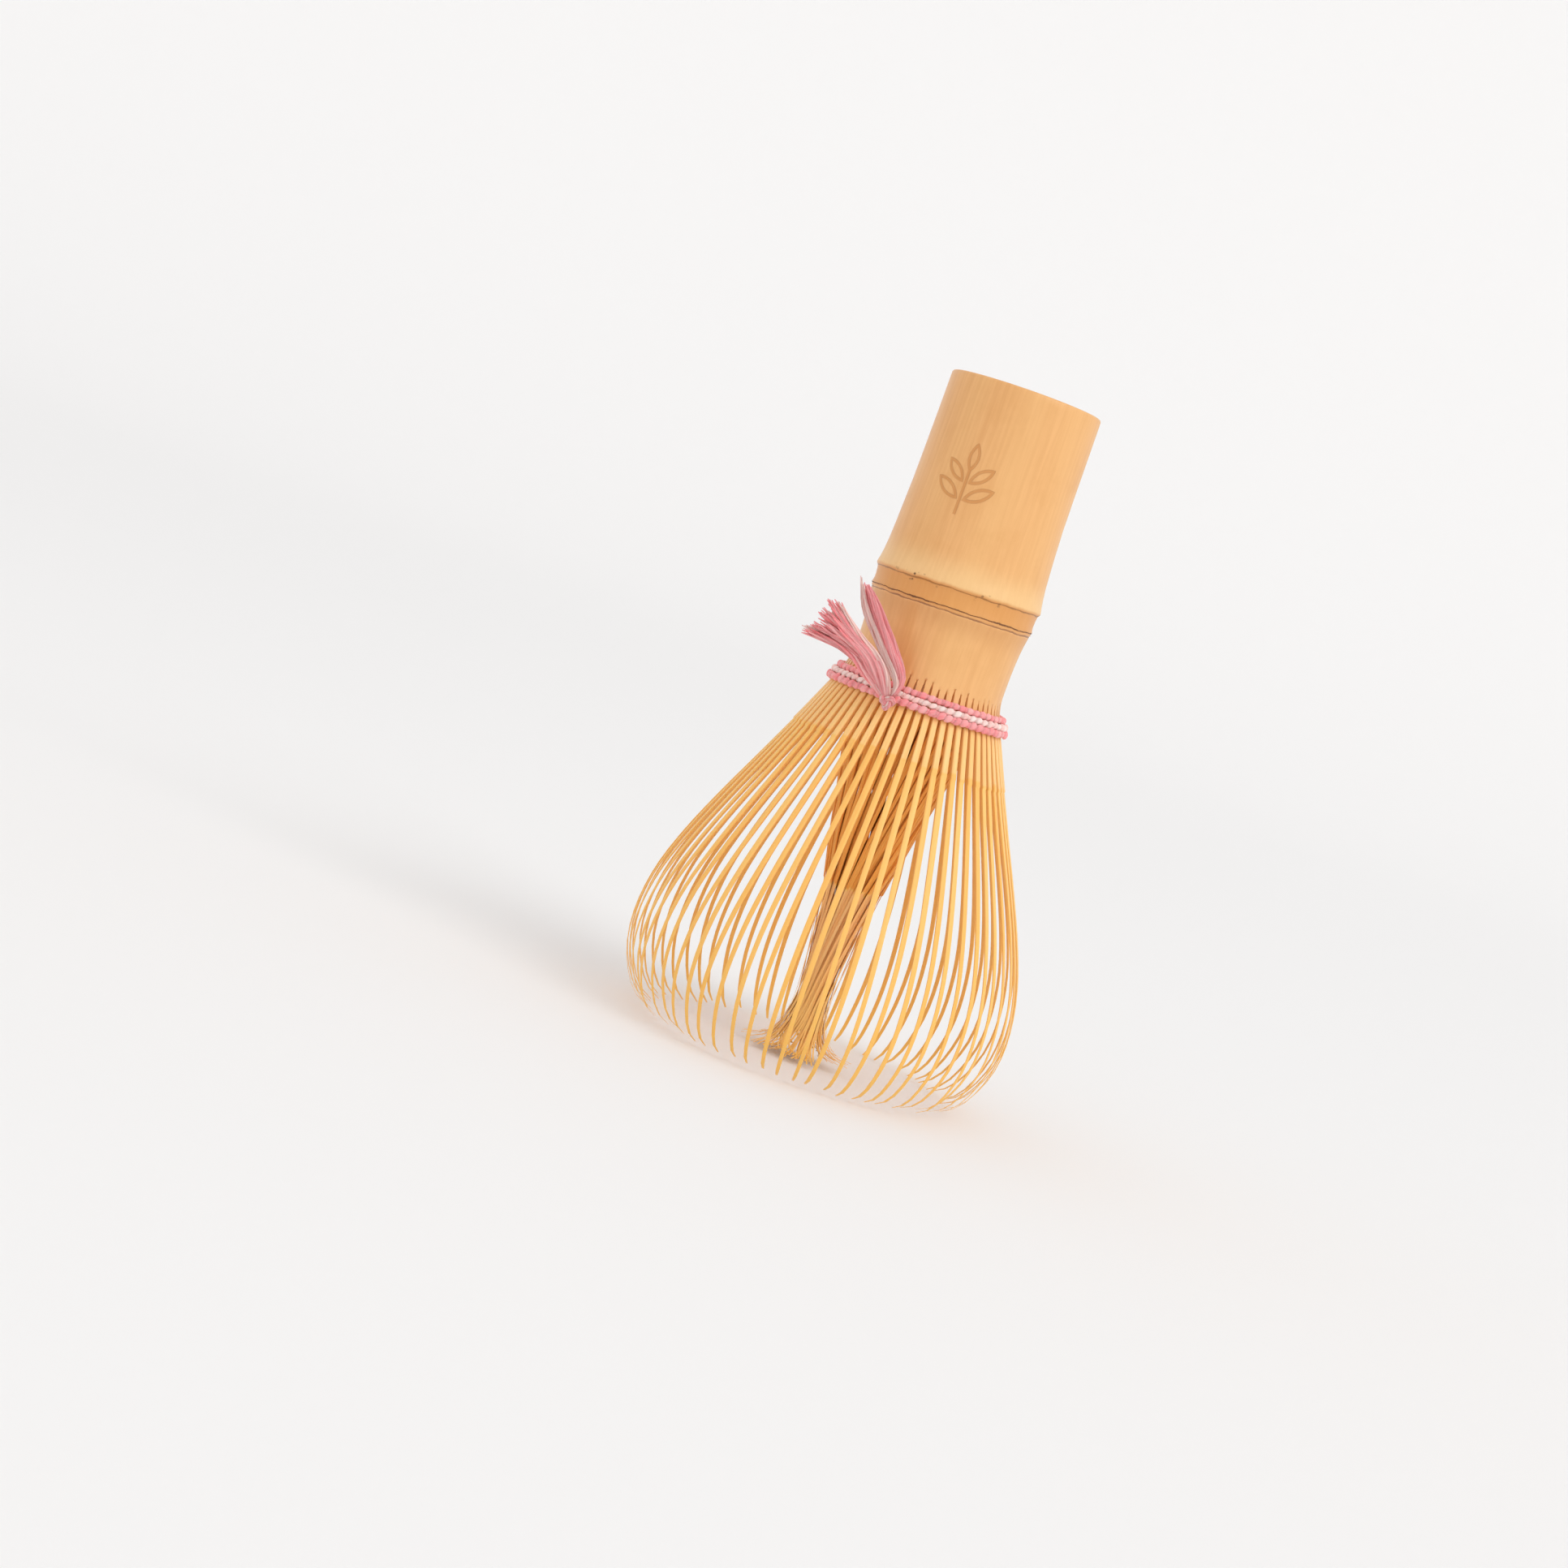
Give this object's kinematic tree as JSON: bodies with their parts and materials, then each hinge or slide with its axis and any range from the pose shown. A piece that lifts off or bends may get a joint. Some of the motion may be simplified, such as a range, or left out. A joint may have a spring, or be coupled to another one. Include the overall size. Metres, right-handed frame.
{
  "type": "bamboo tea whisk",
  "caption": "Bamboo tea whisk with a culm handle, an outer cage of springy curved tines, a twisted inner sheaf of tines and a bound thread with two frayed ends.",
  "frame": {"origin": "centre of the circle of outer tine tips, at the height of their lowest points", "axes": "+Z along the handle, from the tine tips to the cut end of the handle; -Y is the side that the thread is knotted on"},
  "size_m": [0.0622, 0.0622, 0.1076],
  "materials": {
    "bamboo_skin": "natural satin bamboo skin",
    "split_bamboo": "shaved bamboo, golden, low sheen",
    "inner_bamboo": "split inner bamboo, dark orange, matte",
    "pink_thread": "twisted pink and white cotton thread, matte"
  },
  "bodies": {
    "root": {"handle_culm": "bamboo_skin", "inner_tines_01": "inner_bamboo", "inner_tines_02": "inner_bamboo", "inner_tines_03": "inner_bamboo", "inner_tines_04": "inner_bamboo", "inner_tines_05": "inner_bamboo", "inner_tines_06": "inner_bamboo", "inner_tines_07": "inner_bamboo", "inner_tines_08": "inner_bamboo", "inner_tines_09": "inner_bamboo", "inner_tines_10": "inner_bamboo", "inner_tines_11": "inner_bamboo", "inner_tines_12": "inner_bamboo", "inner_tines_13": "inner_bamboo", "inner_tines_14": "inner_bamboo", "inner_tines_15": "inner_bamboo", "inner_tines_16": "inner_bamboo", "thread_upper_course": "pink_thread", "thread_middle_course": "pink_thread", "thread_lower_course": "pink_thread", "thread_inner_course": "pink_thread", "thread_knot": "pink_thread", "tassel_side": "pink_thread", "tassel_upright": "pink_thread"},
    "split_01": {"outer_tines_01": "split_bamboo"},
    "split_02": {"outer_tines_02": "split_bamboo"},
    "split_03": {"outer_tines_03": "split_bamboo"},
    "split_04": {"outer_tines_04": "split_bamboo"},
    "split_05": {"outer_tines_05": "split_bamboo"},
    "split_06": {"outer_tines_06": "split_bamboo"},
    "split_07": {"outer_tines_07": "split_bamboo"},
    "split_08": {"outer_tines_08": "split_bamboo"},
    "split_09": {"outer_tines_09": "split_bamboo"},
    "split_10": {"outer_tines_10": "split_bamboo"},
    "split_11": {"outer_tines_11": "split_bamboo"},
    "split_12": {"outer_tines_12": "split_bamboo"},
    "split_13": {"outer_tines_13": "split_bamboo"},
    "split_14": {"outer_tines_14": "split_bamboo"},
    "split_15": {"outer_tines_15": "split_bamboo"},
    "split_16": {"outer_tines_16": "split_bamboo"}
  },
  "joints": [
    {"name": "split_01_flex", "type": "hinge", "parent": "root", "child": "split_01", "pos_m": [0.01254, 0, 0.0588], "axis": [0, -1, 0], "range_deg": [-2, 6], "stiffness_Nm_per_rad": 0.0063},
    {"name": "split_02_flex", "type": "hinge", "parent": "root", "child": "split_02", "pos_m": [0.01159, 0.0048, 0.0588], "axis": [0.3827, -0.9239, 0], "range_deg": [-2, 6], "stiffness_Nm_per_rad": 0.0063},
    {"name": "split_03_flex", "type": "hinge", "parent": "root", "child": "split_03", "pos_m": [0.00887, 0.00887, 0.0588], "axis": [0.7071, -0.7071, 0], "range_deg": [-2, 6], "stiffness_Nm_per_rad": 0.0063},
    {"name": "split_04_flex", "type": "hinge", "parent": "root", "child": "split_04", "pos_m": [0.0048, 0.01159, 0.0588], "axis": [0.9239, -0.3827, 0], "range_deg": [-2, 6], "stiffness_Nm_per_rad": 0.0063},
    {"name": "split_05_flex", "type": "hinge", "parent": "root", "child": "split_05", "pos_m": [0, 0.01254, 0.0588], "axis": [1, 0, 0], "range_deg": [-2, 6], "stiffness_Nm_per_rad": 0.0063},
    {"name": "split_06_flex", "type": "hinge", "parent": "root", "child": "split_06", "pos_m": [-0.0048, 0.01159, 0.0588], "axis": [0.9239, 0.3827, 0], "range_deg": [-2, 6], "stiffness_Nm_per_rad": 0.0063},
    {"name": "split_07_flex", "type": "hinge", "parent": "root", "child": "split_07", "pos_m": [-0.00887, 0.00887, 0.0588], "axis": [0.7071, 0.7071, 0], "range_deg": [-2, 6], "stiffness_Nm_per_rad": 0.0063},
    {"name": "split_08_flex", "type": "hinge", "parent": "root", "child": "split_08", "pos_m": [-0.01159, 0.0048, 0.0588], "axis": [0.3827, 0.9239, 0], "range_deg": [-2, 6], "stiffness_Nm_per_rad": 0.0063},
    {"name": "split_09_flex", "type": "hinge", "parent": "root", "child": "split_09", "pos_m": [-0.01254, 0, 0.0588], "axis": [0, 1, 0], "range_deg": [-2, 6], "stiffness_Nm_per_rad": 0.0063},
    {"name": "split_10_flex", "type": "hinge", "parent": "root", "child": "split_10", "pos_m": [-0.01159, -0.0048, 0.0588], "axis": [-0.3827, 0.9239, 0], "range_deg": [-2, 6], "stiffness_Nm_per_rad": 0.0063},
    {"name": "split_11_flex", "type": "hinge", "parent": "root", "child": "split_11", "pos_m": [-0.00887, -0.00887, 0.0588], "axis": [-0.7071, 0.7071, 0], "range_deg": [-2, 6], "stiffness_Nm_per_rad": 0.0063},
    {"name": "split_12_flex", "type": "hinge", "parent": "root", "child": "split_12", "pos_m": [-0.0048, -0.01159, 0.0588], "axis": [-0.9239, 0.3827, 0], "range_deg": [-2, 6], "stiffness_Nm_per_rad": 0.0063},
    {"name": "split_13_flex", "type": "hinge", "parent": "root", "child": "split_13", "pos_m": [0, -0.01254, 0.0588], "axis": [-1, 0, 0], "range_deg": [-2, 6], "stiffness_Nm_per_rad": 0.0063},
    {"name": "split_14_flex", "type": "hinge", "parent": "root", "child": "split_14", "pos_m": [0.0048, -0.01159, 0.0588], "axis": [-0.9239, -0.3827, 0], "range_deg": [-2, 6], "stiffness_Nm_per_rad": 0.0063},
    {"name": "split_15_flex", "type": "hinge", "parent": "root", "child": "split_15", "pos_m": [0.00887, -0.00887, 0.0588], "axis": [-0.7071, -0.7071, 0], "range_deg": [-2, 6], "stiffness_Nm_per_rad": 0.0063},
    {"name": "split_16_flex", "type": "hinge", "parent": "root", "child": "split_16", "pos_m": [0.01159, -0.0048, 0.0588], "axis": [-0.3827, -0.9239, 0], "range_deg": [-2, 6], "stiffness_Nm_per_rad": 0.0063}
  ]
}
